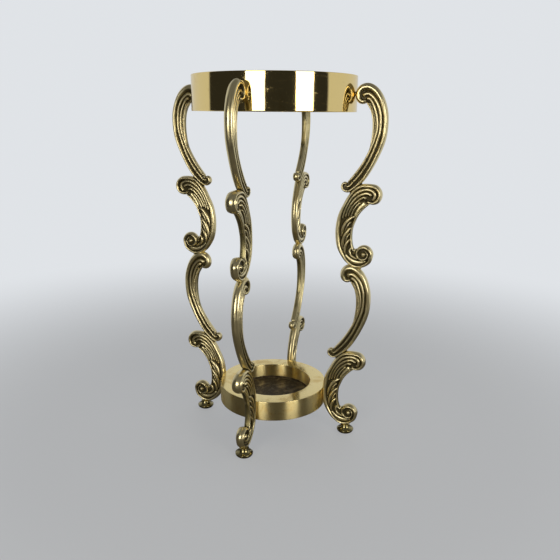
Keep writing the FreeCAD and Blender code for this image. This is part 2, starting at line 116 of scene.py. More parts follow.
def newGroup(name, kind, inputs, outputs):
    tree = bpy.data.node_groups.new(name, kind)
    for label, socketKind, value in inputs:
        socket = tree.interface.new_socket(label, in_out="INPUT",
            socket_type="NodeSocket" + socketKind)
        if value is not None:
            socket.default_value = value
    for label, socketKind in outputs:
        tree.interface.new_socket(label, in_out="OUTPUT", socket_type="NodeSocket" + socketKind)
    return tree, tree.nodes.new("NodeGroupInput").outputs, tree.nodes.new("NodeGroupOutput").inputs


def socketId(tree, label):
    given = (item for item in tree.interface.items_tree if item.in_out == "INPUT")
    return next(item.identifier for item in given if item.name == label)


# mesh helpers: shapes are drawn in millimetres and scaled when they are put in place

def meshObject(name, vertices, faces, edges=()):
    mesh = bpy.data.meshes.new(name)
    mesh.from_pydata(vertices, edges, faces)
    thing = bpy.data.objects.new(name, mesh)
    bpy.context.scene.collection.objects.link(thing)
    return thing


def coordinates(mesh):
    flat = np.empty(len(mesh.vertices) * 3, np.float32)
    mesh.vertices.foreach_get("co", flat)
    return flat.reshape(-1, 3).astype(float)


def setCoordinates(mesh, points):
    mesh.vertices.foreach_set("co", np.asarray(points, np.float32).ravel())
    mesh.update()


def storeValue(mesh, name, values):
    layer = mesh.attributes.get(name) or mesh.attributes.new(name, "FLOAT", "POINT")
    layer.data.foreach_set("value", np.asarray(values, np.float32))


def makePlain(thing):
    graph = bpy.context.evaluated_depsgraph_get()
    mesh = bpy.data.meshes.new_from_object(thing.evaluated_get(graph),
        preserve_all_data_layers=True, depsgraph=graph)
    thing.modifiers.clear()
    thing.data = mesh
    return mesh


def putOn(thing, body, slot, material, *nodes):
    thing.data.materials.clear()
    thing.data.materials.append(material)
    thing.data.polygons.foreach_set("use_smooth", [True] * len(thing.data.polygons))
    thing.data.update()
    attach(thing, body)
    if nodes:
        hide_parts(*nodes)


def turnPiece(name, outline, segments, place=(0, 0, 0)):
    # outline: (radius, height) in mm, counterclockwise; it closes on the axis at radius 0
    onAxis = outline[0][0] == 0
    vertices = []
    rings = []
    for radius, height in outline:
        if radius == 0:
            rings.append([len(vertices)] * segments)
            vertices.append((0.0, 0.0, height))
            continue
        rings.append(list(range(len(vertices), len(vertices) + segments)))
        for step in range(segments):
            angle = 2 * math.pi * step / segments
            vertices.append((radius * math.cos(angle), radius * math.sin(angle), height))
    faces = []
    count = len(rings) if not onAxis else len(rings) - 1
    for index in range(count):
        low = rings[index]
        high = rings[(index + 1) % len(rings)]
        for step in range(segments):
            after = (step + 1) % segments
            corners = [low[step], low[after], high[after], high[step]]
            faces.append(tuple(dict.fromkeys(corners)))
    points = np.array(vertices) * 0.001 + np.array(place)
    return meshObject(name, points.tolist(), faces)


def bow(start, end, radius, side, steps=8):
    # points of an arc from start to end; side is 1 when its centre is to the left of the way there
    a = np.array(start, float)
    b = np.array(end, float)
    gap = b - a
    half = np.linalg.norm(gap) / 2
    left = np.array((-gap[1], gap[0])) / (2 * half)
    centre = (a + b) / 2 + left * side * math.sqrt(max(radius ** 2 - half ** 2, 0))
    first = math.atan2(*(a - centre)[::-1])
    sweep = (math.atan2(*(b - centre)[::-1]) - first + math.pi) % (2 * math.pi) - math.pi
    angles = first + sweep * np.linspace(0, 1, steps + 1)
    return [(centre[0] + radius * math.cos(t), centre[1] + radius * math.sin(t)) for t in angles]


def softened(corners, steps=4):
    # a closed outline whose corners (x, y, rounding) are rounded
    result = []
    total = len(corners)
    for index, (x, y, rounding) in enumerate(corners):
        here = np.array((x, y), float)
        back = np.array(corners[index - 1][:2], float) - here
        ahead = np.array(corners[(index + 1) % total][:2], float) - here
        if rounding == 0:
            result.append((x, y))
            continue
        back /= np.linalg.norm(back)
        ahead /= np.linalg.norm(ahead)
        for step in range(steps + 1):
            t = step / steps
            point = here + rounding * (back * (1 - t) ** 2 + ahead * t ** 2)
            result.append((float(point[0]), float(point[1])))
    return result


# shader groups

def buildTarnish():
    # cloudy tarnish and dark specks: a mask for colour and a mask for dullness
    inputs = (("Cloud Scale", "Float", 60.0), ("Cloud Amount", "Float", 0.5),
              ("Speck Scale", "Float", 500.0), ("Speck Amount", "Float", 0.3))
    outputs = (("Clouds", "Float"), ("Specks", "Float"), ("Height", "Float"))
    tree, given, out = newGroup("tarnishClouds", "ShaderNodeTree", inputs, outputs)
    where = addNode(tree, "ShaderNodeTexCoord").outputs["Object"]
    broad = noise(tree, where, given["Cloud Scale"], 7.0, Roughness=0.62, Distortion=0.4)
    threshold = minus(tree, 0.72, times(tree, given["Cloud Amount"], 0.34))
    clouds = remap(tree, broad, threshold, plus(tree, threshold, 0.16))
    fine = noise(tree, where, given["Speck Scale"], 3.0, Roughness=0.7)
    cut = minus(tree, 0.76, times(tree, given["Speck Amount"], 0.2))
    specks = remap(tree, fine, cut, plus(tree, cut, 0.06))
    tree.links.new(clouds, out["Clouds"])
    tree.links.new(specks, out["Specks"])
    tree.links.new(times(tree, specks, -1.0), out["Height"])
    return tree


def buildScratches():
    # fine scratches in two crossing directions, and rub marks round the axis
    inputs = (("Scale", "Float", 900.0), ("Amount", "Float", 0.5), ("Stretch", "Float", 40.0))
    outputs = (("Scratches", "Float"), ("Rub", "Float"))
    tree, given, out = newGroup("fineScratches", "ShaderNodeTree", inputs, outputs)
    where = addNode(tree, "ShaderNodeTexCoord").outputs["Object"]
    lines = []
    for turn, offset in ((0.35, 0.0), (-0.6, 3.7)):
        turned = addNode(tree, "ShaderNodeMapping",
            {"Vector": where, "Rotation": (turn, turn * 0.7, offset)}).outputs[0]
        parts = addNode(tree, "ShaderNodeSeparateXYZ", {0: turned}).outputs
        shrunk = addNode(tree, "ShaderNodeCombineXYZ", {
            0: calc(tree, "DIVIDE", parts[0], given["Stretch"]),
            1: calc(tree, "DIVIDE", parts[1], given["Stretch"]),
            2: parts[2]}).outputs[0]
        streaks = noise(tree, shrunk, given["Scale"], 2.0, Roughness=0.6)
        limit = minus(tree, 0.74, times(tree, given["Amount"], 0.12))
        lines.append(remap(tree, streaks, limit, plus(tree, limit, 0.05)))
    tree.links.new(calc(tree, "MAXIMUM", lines[0], lines[1]), out["Scratches"])
    parts = addNode(tree, "ShaderNodeSeparateXYZ", {0: where}).outputs
    flat = addNode(tree, "ShaderNodeCombineXYZ", {
        0: times(tree, parts[0], 0.02), 1: times(tree, parts[1], 0.02), 2: parts[2]}).outputs[0]
    rub = noise(tree, flat, given["Scale"], 4.0, Roughness=0.7)
    tree.links.new(rub, out["Rub"])
    return tree


def buildGrooves():
    # dark patina in the hollows plus painted shade that stands in for the shadow in them, from the
    # mesh's own hollow attribute
    inputs = (("Hollow From", "Float", 0.05), ("Hollow To", "Float", 0.5),
              ("Break Up", "Float", 0.3), ("Grain Scale", "Float", 700.0))
    outputs = (("Patina And Shade", "Float"), ("Wear", "Float"), ("Grain", "Float"))
    tree, given, out = newGroup("grooveShadeAndPatina", "ShaderNodeTree", inputs, outputs)
    where = addNode(tree, "ShaderNodeTexCoord").outputs["Object"]
    hollow = addNode(tree, "ShaderNodeAttribute", attribute_name="hollow").outputs["Fac"]
    grit = noise(tree, where, times(tree, given["Grain Scale"], 0.4), 5.0, Roughness=0.65)
    shaken = plus(tree, hollow, times(tree, minus(tree, grit, 0.5), given["Break Up"]))
    tree.links.new(remap(tree, shaken, given["Hollow From"], given["Hollow To"]), out["Patina And Shade"])
    raised = times(tree, shaken, -1.0)
    tree.links.new(remap(tree, raised, given["Hollow From"], given["Hollow To"]), out["Wear"])
    grain = addNode(tree, "ShaderNodeTexVoronoi", {"Vector": where,
        "Scale": given["Grain Scale"]}).outputs["Distance"]
    tree.links.new(grain, out["Grain"])
    return tree


tarnishClouds = buildTarnish()
fineScratches = buildScratches()
grooveShadeAndPatina = buildGrooves()


def placeGroup(tree, group, **values):
    node = tree.nodes.new("ShaderNodeGroup")
    node.node_tree = group
    for name, value in values.items():
        node.inputs[name.replace("_", " ")].default_value = value
    return node.outputs


def newMaterial(name, **shaderValues):
    material = bpy.data.materials.new(name)
    material.use_nodes = True
    tree = material.node_tree
    shader = tree.nodes["Principled BSDF"]
    for socket, value in shaderValues.items():
        shader.inputs[socket.replace("_", " ")].default_value = value
    return material, tree, shader


def finishBrass(tree, shader, tone, rough, surface, strength, distance):
    heights = {"Height": surface, "Strength": strength, "Distance": distance}
    bump = addNode(tree, "ShaderNodeBump", heights).outputs[0]
    for value, socket in ((tone, "Base Color"), (rough, "Roughness"), (bump, "Normal")):
        tree.links.new(value, shader.inputs[socket])


brass = {
    "bright": (0.90, 0.69, 0.285, 1),
    "warm": (0.76, 0.55, 0.20, 1),
    "straw": (0.89, 0.72, 0.33, 1),
    "rubbed": (0.78, 0.66, 0.36, 1),
    "dulled": (0.315, 0.265, 0.12, 1),
    "olive": (0.19, 0.155, 0.066, 1),
    # near black for the deepest hollows of the castings: patina and painted shade
    "deep": (0.075, 0.06, 0.026, 1),
    "brown": (0.15, 0.09, 0.035, 1),
}


def ringBrass(name, colour, polish, face, cloudAmount, speckAmount, scratchAmount, dull, sheen):
    # polish is the roughness of the walls, face that of the level faces
    # the lathe's fine turns run round the axis and smear what the metal mirrors along the height
    material, tree, shader = newMaterial(name, Metallic=1.0, Anisotropic=sheen,
        Anisotropic_Rotation=0.25)
    around = addNode(tree, "ShaderNodeTangent", direction_type="RADIAL", axis="Z").outputs[0]
    tree.links.new(around, shader.inputs["Tangent"])
    clouds, specks, _ = placeGroup(tree, tarnishClouds, Cloud_Scale=38.0, Cloud_Amount=cloudAmount,
                                        Speck_Scale=620.0, Speck_Amount=speckAmount)
    scratches, rub = placeGroup(tree, fineScratches, Scale=1500.0, Amount=scratchAmount,
        Stretch=45.0)
    tone = blendColour(tree, clouds, brass[colour], brass["warm"])
    tone = blendColour(tree, times(tree, specks, 0.8), tone, brass["brown"])
    normal = addNode(tree, "ShaderNodeTexCoord").outputs["Normal"]
    facing = addNode(tree, "ShaderNodeSeparateXYZ", {0: normal}).outputs[2]
    level = times(tree, calc(tree, "ABSOLUTE", facing), face - polish)
    rough = plus(tree, plus(tree, polish, level), times(tree, clouds, dull))
    rough = plus(tree, rough, times(tree, scratches, 0.12))
    rough = plus(tree, rough, times(tree, specks, 0.3))
    rough = plus(tree, rough, times(tree, minus(tree, rub, 0.5), 0.06), clamp=True)
    where = addNode(tree, "ShaderNodeTexCoord").outputs["Object"]
    wavy = noise(tree, where, 26.0, 1.0)
    surface = plus(tree, times(tree, wavy, 1.2), times(tree, rub, 0.004))
    surface = minus(tree, surface, times(tree, scratches, 0.010))
    surface = minus(tree, surface, times(tree, specks, 0.03))
    finishBrass(tree, shader, tone, rough, surface, 0.35, 0.0004)
    return material


def castingBrass():
    # rubbed bright on the crests, dulled on the flanks, nearly black in the hollows with patina and
    # painted shade
    material, tree, shader = newMaterial("castBrass", Metallic=1.0, Coat_Weight=0.1,
        Coat_Roughness=0.12)
    patinaAndShade, wear, grain = placeGroup(tree, grooveShadeAndPatina, Hollow_From=0.02, Hollow_To=0.34,
                                     Break_Up=0.06, Grain_Scale=1100.0)
    clouds, specks, _ = placeGroup(tree, tarnishClouds, Cloud_Scale=75.0, Cloud_Amount=0.7,
                                        Speck_Scale=900.0, Speck_Amount=0.4)
    stipple = addNode(tree, "ShaderNodeAttribute", attribute_name="stipple").outputs["Fac"]
    tone = blendColour(tree, times(tree, clouds, 0.4), brass["dulled"], brass["olive"])
    crest = remap(tree, wear, 0.4, 1.0)
    tone = blendColour(tree, crest, tone, brass["rubbed"])
    # olive, then near black, in the hollows: patina together with painted shade down in the grooves
    tone = blendColour(tree, patinaAndShade, tone, brass["olive"])
    tone = blendColour(tree, remap(tree, patinaAndShade, 0.45, 1.0), tone, brass["deep"])
    dots = times(tree, remap(tree, grain, 0.15, 0.55), stipple)
    tone = blendColour(tree, times(tree, minus(tree, stipple, dots), 0.5), tone, brass["rubbed"])
    tone = blendColour(tree, times(tree, specks, 0.4), tone, brass["brown"])
    rough = plus(tree, 0.315, times(tree, patinaAndShade, 0.25))
    rough = plus(tree, rough, times(tree, clouds, 0.08))
    rough = minus(tree, rough, times(tree, wear, 0.03), clamp=True)
    where = addNode(tree, "ShaderNodeTexCoord").outputs["Object"]
    skin = noise(tree, where, 300.0, 3.0, Roughness=0.5)
    surface = plus(tree, times(tree, skin, 0.04), times(tree, dots, -0.25))
    finishBrass(tree, shader, tone, rough, surface, 0.5, 0.0003)
    return material


def turnedBrass(name, polish):
    # lathe marks run round the piece's own axis, so they follow its height
    material, tree, shader = newMaterial(name, Metallic=1.0)
    clouds, specks, _ = placeGroup(tree, tarnishClouds, Cloud_Scale=120.0, Cloud_Amount=0.6,
                                        Speck_Scale=900.0, Speck_Amount=0.5)
    scratches, rub = placeGroup(tree, fineScratches, Scale=2600.0, Amount=0.5, Stretch=12.0)
    # the dulled and olive tone is tarnish, and also painted shade that keeps these pieces dark as
    # if shadowed
    tone = blendColour(tree, clouds, brass["dulled"], brass["olive"])
    tone = blendColour(tree, times(tree, specks, 0.7), tone, brass["brown"])
    rough = plus(tree, polish, times(tree, clouds, 0.12))
    rough = plus(tree, rough, times(tree, scratches, 0.12), clamp=True)
    surface = plus(tree, times(tree, rub, 0.25), times(tree, specks, -0.5))
    finishBrass(tree, shader, tone, rough, surface, 0.3, 0.0002)
    return material


def trayBrass():
    material, tree, shader = newMaterial("trayBrass", Metallic=0.75)
    clouds, specks, _ = placeGroup(tree, tarnishClouds, Cloud_Scale=55.0, Cloud_Amount=1.1,
                                        Speck_Scale=380.0, Speck_Amount=0.8)
    scratches, _ = placeGroup(tree, fineScratches, Scale=1200.0, Amount=0.6, Stretch=30.0)
    tone = blendColour(tree, clouds, (0.19, 0.145, 0.08, 1), (0.085, 0.066, 0.04, 1))
    tone = blendColour(tree, times(tree, specks, 0.7), tone, (0.32, 0.26, 0.155, 1))
    tone = blendColour(tree, times(tree, scratches, 0.4), tone, brass["warm"])
    rough = plus(tree, 0.42, times(tree, clouds, 0.2), clamp=True)
    surface = plus(tree, clouds, times(tree, specks, 0.6))
    finishBrass(tree, shader, tone, rough, surface, 0.35, 0.0004)
    return material


polishedRing = ringBrass("polishedRing", "bright", 0.06, 0.06, 0.45, 0.5, 0.6, 0.06, 0.2)
satinRing = ringBrass("satinRing", "straw", 0.31, 0.12, 0.7, 0.6, 0.6, 0.05, 0.95)
castBrass = castingBrass()
footBrass = turnedBrass("footBrass", 0.18)
fastenerBrass = turnedBrass("fastenerBrass", 0.2)
brazeBrass = turnedBrass("brazeBrass", 0.3)
darkTray = trayBrass()
print("materials ready")


# the camera, from the side that shows the right and the front leg

view = {"turn": 20.0, "away": 0.823, "height": 0.4336, "down": 15.14, "aside": 0.63, "roll": 0.46,
    "lens": 39.455}


def setCamera():
    turn = math.radians(view["turn"])
    down = math.radians(view["down"])
    aside = math.radians(view["aside"])
    roll = math.radians(view["roll"])
    ahead = Vector((math.sin(aside) * math.cos(down), math.cos(aside) * math.cos(down),
        -math.sin(down)))
    across = Vector((math.cos(aside), -math.sin(aside), 0))
    up = across.cross(ahead)
    right = across * math.cos(roll) + up * math.sin(roll)
    top = up * math.cos(roll) - across * math.sin(roll)
    axes = Matrix((right, top, -ahead)).transposed().to_4x4()
    lens = bpy.data.cameras.new("camera")
    lens.sensor_width = 36
    lens.lens = view["lens"]
    lens.clip_start = 0.01
    camera = bpy.data.objects.new("camera", lens)
    bpy.context.scene.collection.objects.link(camera)
    spin = Matrix.Rotation(turn, 4, "Z")
    camera.matrix_world = spin @ Matrix.Translation((0, -view["away"], view["height"])) @ axes
    bpy.context.scene.camera = camera


setCamera()

# floor, light and the pale room

room = {
    "wall": (0.745, 0.77, 0.80, 1),
    "floor": (0.55, 0.53, 0.505, 1),
    "floorSeenInBrass": (0.17, 0.155, 0.13, 1),
    "coveFrom": 0.30,
    "coveTo": 1.1,
    "floorGlow": 0.42,
    "brassSees": 0.62,
    "paleLeft": 97,
    "paleRight": 76,
    "wallLight": 0.85,
    "darkLight": 0.035,
    "ceiling": 0.20,
    "boxes": ((-94.9, 25, 5.0, 0.62), (-30.2, 24, 5.0, 0.62)),
    "boxHeight": 1.15,
    "boxAway": 2.4,
    "boxAim": 0.3,
    "boxColour": (1.0, 0.985, 0.95),
    "paleSoftness": 0.04,
    "ceilingFrom": 0.45,
    "ceilingTo": 0.8,
    "floorHalf": 14.0,
    "floorSoftness": 0.03,
}


def setRoom():
    world = bpy.data.worlds.new("room")
    bpy.context.scene.world = world
    world.use_nodes = True
    tree = world.node_tree
    background = tree.nodes["Background"]
    where = addNode(tree, "ShaderNodeTexCoord").outputs["Generated"]
    x, y, z = addNode(tree, "ShaderNodeSeparateXYZ", {0: where}).outputs
    turn = math.radians(view["turn"])
    towards = minus(tree, times(tree, x, math.sin(turn)), times(tree, y, math.cos(turn)))
    aside = plus(tree, times(tree, x, math.cos(turn)), times(tree, y, math.sin(turn)))
    bearing = calc(tree, "ARCTAN2", aside, towards)
    right = math.radians(room["paleRight"])
    left = math.radians(-room["paleLeft"])
    soft = room["paleSoftness"]
    behind = plus(tree, remap(tree, bearing, right - soft, right + soft),
                  remap(tree, bearing, left - soft, left + soft, 1.0, 0.0), clamp=True)
    above = remap(tree, z, room["ceilingFrom"], room["ceilingTo"])
    gain = room["wallLight"] - room["darkLight"]
    strength = plus(tree, room["darkLight"], times(tree, behind, gain))
    lifted = plus(tree, times(tree, strength, minus(tree, 1.0, above)),
                  times(tree, above, room["ceiling"]))
    seen = addNode(tree, "ShaderNodeLightPath").outputs["Is Camera Ray"]
    shown = addNode(tree, "ShaderNodeMix", {0: seen, 2: lifted, 3: 1.0},
        data_type="FLOAT").outputs[0]
    background.inputs["Color"].default_value = room["wall"]
    tree.links.new(shown, background.inputs["Strength"])
    for number, (azimuth, width, radiance, middle) in enumerate(room["boxes"]):
        away = room["boxAway"]
        lamp = bpy.data.lights.new("softBox%d" % number, "AREA")
        lamp.shape = "RECTANGLE"
        lamp.size = 2 * away * math.tan(math.radians(width / 2))
        lamp.size_y = room["boxHeight"]
        lamp.energy = radiance * math.pi * lamp.size * lamp.size_y
        lamp.color = room["boxColour"]
        box = bpy.data.objects.new(lamp.name, lamp)
        bpy.context.scene.collection.objects.link(box)
        spot = Vector((math.cos(math.radians(azimuth)), math.sin(math.radians(azimuth)), 0)) * away
        spot.z = middle
        aim = Vector((0, 0, room["boxAim"])) - spot
        facing = aim.to_track_quat("-Z", "Y").to_matrix().to_4x4()
        box.matrix_world = Matrix.Translation(spot) @ facing
        box.visible_camera = False


def setFloor():
    # the paint fades into the pale wall, as in a studio cove, so no horizon shows
    size = room["floorHalf"]
    corners = [(-size, -size, 0), (size, -size, 0), (size, size, 0), (-size, size, 0)]
    floor = meshObject("floor", corners, [(0, 1, 2, 3)])
    material, tree, shader = newMaterial("floorPaint", Roughness=0.62)
    where = addNode(tree, "ShaderNodeTexCoord").outputs["Object"]
    grain = noise(tree, where, 3.0, 5.0)
    shade = tuple(c * 0.94 for c in room["floor"][:3]) + (1,)
    tone = blendColour(tree, grain, room["floor"], shade)
    seen = addNode(tree, "ShaderNodeLightPath").outputs["Is Camera Ray"]
    tone = blendColour(tree, seen, room["floorSeenInBrass"], tone)
    tree.links.new(tone, shader.inputs["Base Color"])
    away = addNode(tree, "ShaderNodeVectorMath", {0: where}, operation="LENGTH").outputs["Value"]
    cove = remap(tree, away, room["coveFrom"], room["coveTo"], room["floorGlow"], 1.0)
    glow = addNode(tree, "ShaderNodeEmission", {"Color": room["wall"]}).outputs[0]
    shown = addNode(tree, "ShaderNodeMixShader", {0: cove, 1: shader.outputs[0],
        2: glow}).outputs[0]
    # the polished brass sees only the floor close by, and the room beyond it
    soft = room["floorSoftness"]
    far = remap(tree, away, room["brassSees"] - soft, room["brassSees"] + soft)
    clear = addNode(tree, "ShaderNodeBsdfTransparent").outputs[0]
    mirrored = addNode(tree, "ShaderNodeMixShader",
        {0: far, 1: shader.outputs[0], 2: clear}).outputs[0]
    both = addNode(tree, "ShaderNodeMixShader", {0: seen, 1: mirrored, 2: shown}).outputs[0]
    tree.links.new(both, tree.nodes["Material Output"].inputs["Surface"])
    floor.data.materials.append(material)


setRoom()
setFloor()
bpy.context.scene.view_settings.view_transform = "Standard"
print("camera, light and floor ready")


# rings, tray and feet

ringCare = {"wall": 3.0, "edge": 0.8, "segments": 420}
baseCare = {"hole": 53.6, "wall": 3.0, "edge": 0.6, "ledge": 5.0, "ledgeLow": 4.0,
            "ledgeTop": 6.0, "segments": 360}
trayCare = {"sheet": 1.2, "edge": 0.55, "lip": 0.25, "beadIn": 4.5, "beadWide": 3.2,
            "beadHigh": 0.45, "segments": 240}
footCare = {"sole": 9.4, "wide": 11.6, "waist": 4.3, "neck": 6.4, "collar": 1.3, "top": 11.0,
            "spigot": 2.5, "spigotUp": 8.0, "bunRadius": 4.6, "coveRadius": 7.4, "segments": 96}


def makeTopRing():
    low = ringLow.z * 1000
    high = ringHigh.z * 1000
    outer = ringHigh.x * 1000
    inner = outer - ringCare["wall"]
    edge = ringCare["edge"]
    rows = [low + (high - low) * t for t in (0.25, 0.5, 0.75)]
    corners = [(inner, low, edge), (outer, low, edge)] + [(outer, z, 0) for z in rows]
    corners += [(outer, high, edge), (inner, high, edge)] + [(inner, z, 0) for z in reversed(rows)]
    ring = turnPiece("topRing", softened(corners, 5), ringCare["segments"])
    putOn(ring, "frame", "polished_ring", polishedRing, "top_ring")


def makeBaseRing():
    low = baseLow.z * 1000
    high = baseHigh.z * 1000
    outer = baseHigh.x * 1000
    hole = baseCare["hole"]
    wall = baseCare["wall"]
    edge = baseCare["edge"]
    ledge = hole - baseCare["ledge"]
    under = low + baseCare["ledgeLow"]
    shelf = low + baseCare["ledgeTop"]
    corners = [
        (outer - wall, low, 0.3), (outer, low, edge), (outer, (low + high) / 2, 0),
        (outer, high, edge),
        ((outer + hole) / 2, high, 0), (hole, high, edge), (hole, shelf, 0.3), (ledge, shelf, 0.3),
        (ledge, under, 0.3), (hole + wall, under, 0.3), (hole + wall, high - wall, 0.3),
        (outer - wall, high - wall, 0.3)]
    ring = turnPiece("baseRing", softened(corners, 5), baseCare["segments"])
    putOn(ring, "frame", "satin_ring", satinRing, "base_ring")


def makeTray():
    low = trayLow.z * 1000
    high = trayHigh.z * 1000
    outer = trayHigh.x * 1000
    sheet = trayCare["sheet"]
    edge = trayCare["edge"]
    floor = low + sheet
    inside = outer - sheet
    outline = [(0, low), (outer * 0.5, low), (outer - 2, low)]
    for t in (0, 0.5, 1.0, 1.57):
        outline.append((outer - edge + edge * math.sin(t), low + edge - edge * math.cos(t)))
    lip = trayCare["lip"]
    outline += [(outer, high - lip), (outer - lip, high), (inside + lip, high),
        (inside, high - lip)]
    outline += [(inside, floor + 0.5), (inside - 0.2, floor + 0.12), (inside - 0.6, floor)]
    # a shallow pressed bead stiffens the sheet
    for step in range(13):
        t = step / 12
        rise = trayCare["beadHigh"] * math.sin(math.pi * t) ** 2
        outline.append((inside - trayCare["beadIn"] - trayCare["beadWide"] * t, floor + rise))
    outline += [(outer * 0.55, floor), (outer * 0.25, floor), (0, floor)]
    tray = turnPiece("dripTray", outline, trayCare["segments"])
    putOn(tray, "tray", "dark_tray", darkTray, "drip_tray")


def makeFeet():
    care = footCare
    top = care["top"]
    bun = bow((care["sole"], 0), (care["wide"], care["waist"]), care["bunRadius"], 1, 10)
    cove = bow((care["wide"], care["waist"]), (care["neck"], top - care["collar"]),
        care["coveRadius"], -1, 12)
    outline = [(0, 0), (care["sole"] * 0.6, 0)] + bun + cove[1:]
    outline += [(care["neck"], top - 0.2), (care["neck"] - 0.2, top), (care["spigot"] + 0.2, top)]
    tip = top + care["spigotUp"]
    outline += [(care["spigot"], top + 0.2), (care["spigot"], tip - 0.4)]
    outline += [(care["spigot"] - 0.4, tip), (0, tip)]
    for leg in legTurns:
        low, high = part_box(leg + "_foot")
        middle = (low + high) / 2
        foot = turnPiece(leg + "Foot", outline, care["segments"], (middle.x, middle.y, 0))
        putOn(foot, "frame", "turned_brass", footBrass, leg + "_foot")


makeTopRing()
makeBaseRing()
makeTray()
makeFeet()
print("rings, tray and feet ready")


# the castings: every leg is two of one pattern, drawn from the hook's seat (x) and bottom (z)

casting = {
    "longUp": 97.5,       # bottom of the long scroll
    "voxel": 0.42,
    "step": 0.8,
    "sides": 24,
    "smooth": 12,
    "triangles": 172000,
    "beadPitch": 1.7,
    "beadHeight": 0.85,
    "smoothIn": 0.5,      # each smoothing step and the step back that keeps the volume
    "smoothOut": -0.52,
    "smoothLast": 0.4,
    "ringFlat": (24.4, 51.6, 0.05),    # heights of the flat on the base ring, and its gap
    "footFlat": 0.55,
    "reach": 148.5,
    "upperOut": ringHigh.x * 1000,
    "upperUp": 238.5,
    "lowerOut": 94.5,
    "lowerUp": 10.5,
}


def spiral(x, z, radii, start, end, wide):
    # points every 24 degrees or so, with the radius and the half width eased from end to end
    count = max(3, int(abs(end - start) / 24))
    points = []
    for step in range(count + 1):
        t = step / count
        radius = np.interp(t, np.linspace(0, 1, len(radii)), radii)
        half = np.interp(t, np.linspace(0, 1, len(wide)), wide)
        angle = math.radians(start + (end - start) * t)
        points.append((x + radius * math.cos(angle), z + radius * math.sin(angle), half))
    return points


def rib(points, thick, full=1.0, up=0.0, wider=1.0):
    # a rib's line: x, z and half width at each point; its half thickness is eased from end to end
    placed = [(x, z + up, half * wider) for x, z, half in points]
    return {"points": placed, "thick": thick, "full": full}


def longRibs():
    up = casting["longUp"]
    roll = [
        (14.8, 114.5, 2.2), (11.4, 113.2, 3.0), (8.2, 113.6, 3.5), (5.6, 115.8, 3.9),
        (4.4, 119.2, 4.1), (4.8, 123.2, 4.3), (6.8, 127.0, 4.5), (10.6, 129.7, 4.7),
        (15.6, 130.3, 4.8), (21.2, 128.4, 4.7), (26.9, 123.8, 4.5), (32.3, 116.0, 4.2),
        (36.2, 106.3, 3.9), (38.3, 97.4, 3.7), (38.9, 88.0, 3.6), (38.5, 79.1, 3.6),
        (37.3, 69.3, 3.4), (34.5, 59.4, 3.3), (30.2, 48.4, 3.1), (25.4, 37.9, 2.9),
        (20.2, 28.4, 2.8), (14.3, 19.3, 2.6), (7.6, 11.7, 2.5), (1.3, 6.3, 2.4), (-4.0, 3.3, 2.3),
        (-8.8, 3.7, 2.2), (-12.0, 6.9, 2.2), (-11.6, 11.0, 2.1), (-8.8, 12.9, 2.0),
        (-6.2, 11.7, 1.7)]
    second = [
        (9.8, 118.4, 2.4), (12.8, 121.4, 2.6), (17.6, 121.9, 2.6), (23.2, 118.0, 2.5),
        (28.4, 110.8, 2.4), (31.6, 102.2, 2.2), (33.0, 94.0, 2.1), (33.3, 84.0, 2.1),
        (32.3, 74.2, 2.1), (30.2, 66.2, 2.0), (26.7, 56.0, 1.9), (22.0, 44.6, 1.8),
        (16.4, 34.0, 1.7), (9.7, 23.8, 1.6), (2.2, 15.2, 1.5), (-3.2, 9.6, 1.5), (-7.6, 8.6, 1.9)]
    third = [
        (14.4, 116.5, 2.2), (17.8, 116.4, 2.2), (21.2, 113.4, 2.0), (24.2, 108.0, 1.9),
        (26.7, 101.0, 1.8), (28.4, 94.0, 1.8), (29.3, 84.0, 1.8), (28.6, 76.2, 1.8),
        (26.7, 68.2, 1.7), (23.0, 57.6, 1.6), (18.1, 46.8, 1.5), (11.7, 35.6, 1.4),
        (5.0, 26.0, 1.4), (-1.0, 18.4, 1.3), (-4.8, 14.2, 1.1)]
    edge = [
        (15.0, 112.6, 1.2), (18.6, 107.0, 1.2), (21.6, 101.0, 1.2), (23.7, 92.0, 1.2),
        (24.3, 84.0, 1.2), (24.2, 74.0, 1.3), (23.1, 64.0, 1.4), (21.6, 56.0, 1.4),
        (19.3, 49.0, 1.4), (16.1, 42.0, 1.4), (12.0, 35.0, 1.3), (7.0, 27.4, 1.2), (3.0, 22.0, 1.1),
        (-1.0, 17.6, 1.0), (-5.4, 14.2, 0.9)]
    web = [
        (10.5, 120.5, 6.5), (17.0, 121.0, 8.0), (24.5, 114.5, 8.2), (29.2, 104.0, 8.0),
        (31.2, 94.0, 7.4), (31.8, 82.0, 7.2), (30.6, 70.0, 7.0), (27.6, 58.0, 6.6),
        (23.0, 46.0, 6.0), (16.6, 34.0, 5.4), (9.0, 22.6, 4.8), (1.0, 13.4, 4.4), (-6.6, 8.6, 4.0)]
    ribs = [
        rib(roll, (4.9, 5.7, 5.9, 5.6, 5.3, 5.0, 4.8, 4.6, 4.5), 1.35, up),
        rib(second, (5.0, 5.0, 4.7, 4.5, 4.3, 4.2, 4.2), 1.0, up, 1.15),
        rib(third, (4.9, 4.5, 4.3, 4.2, 4.0, 3.9, 3.8), 1.0, up, 1.2),
        rib(edge, (3.6, 3.7, 3.6, 3.5, 3.5), 0.9, up),
        rib(web, (2.7, 2.7, 2.6, 2.6, 2.6, 2.7, 2.8), 0.45, up)]
    return ribs


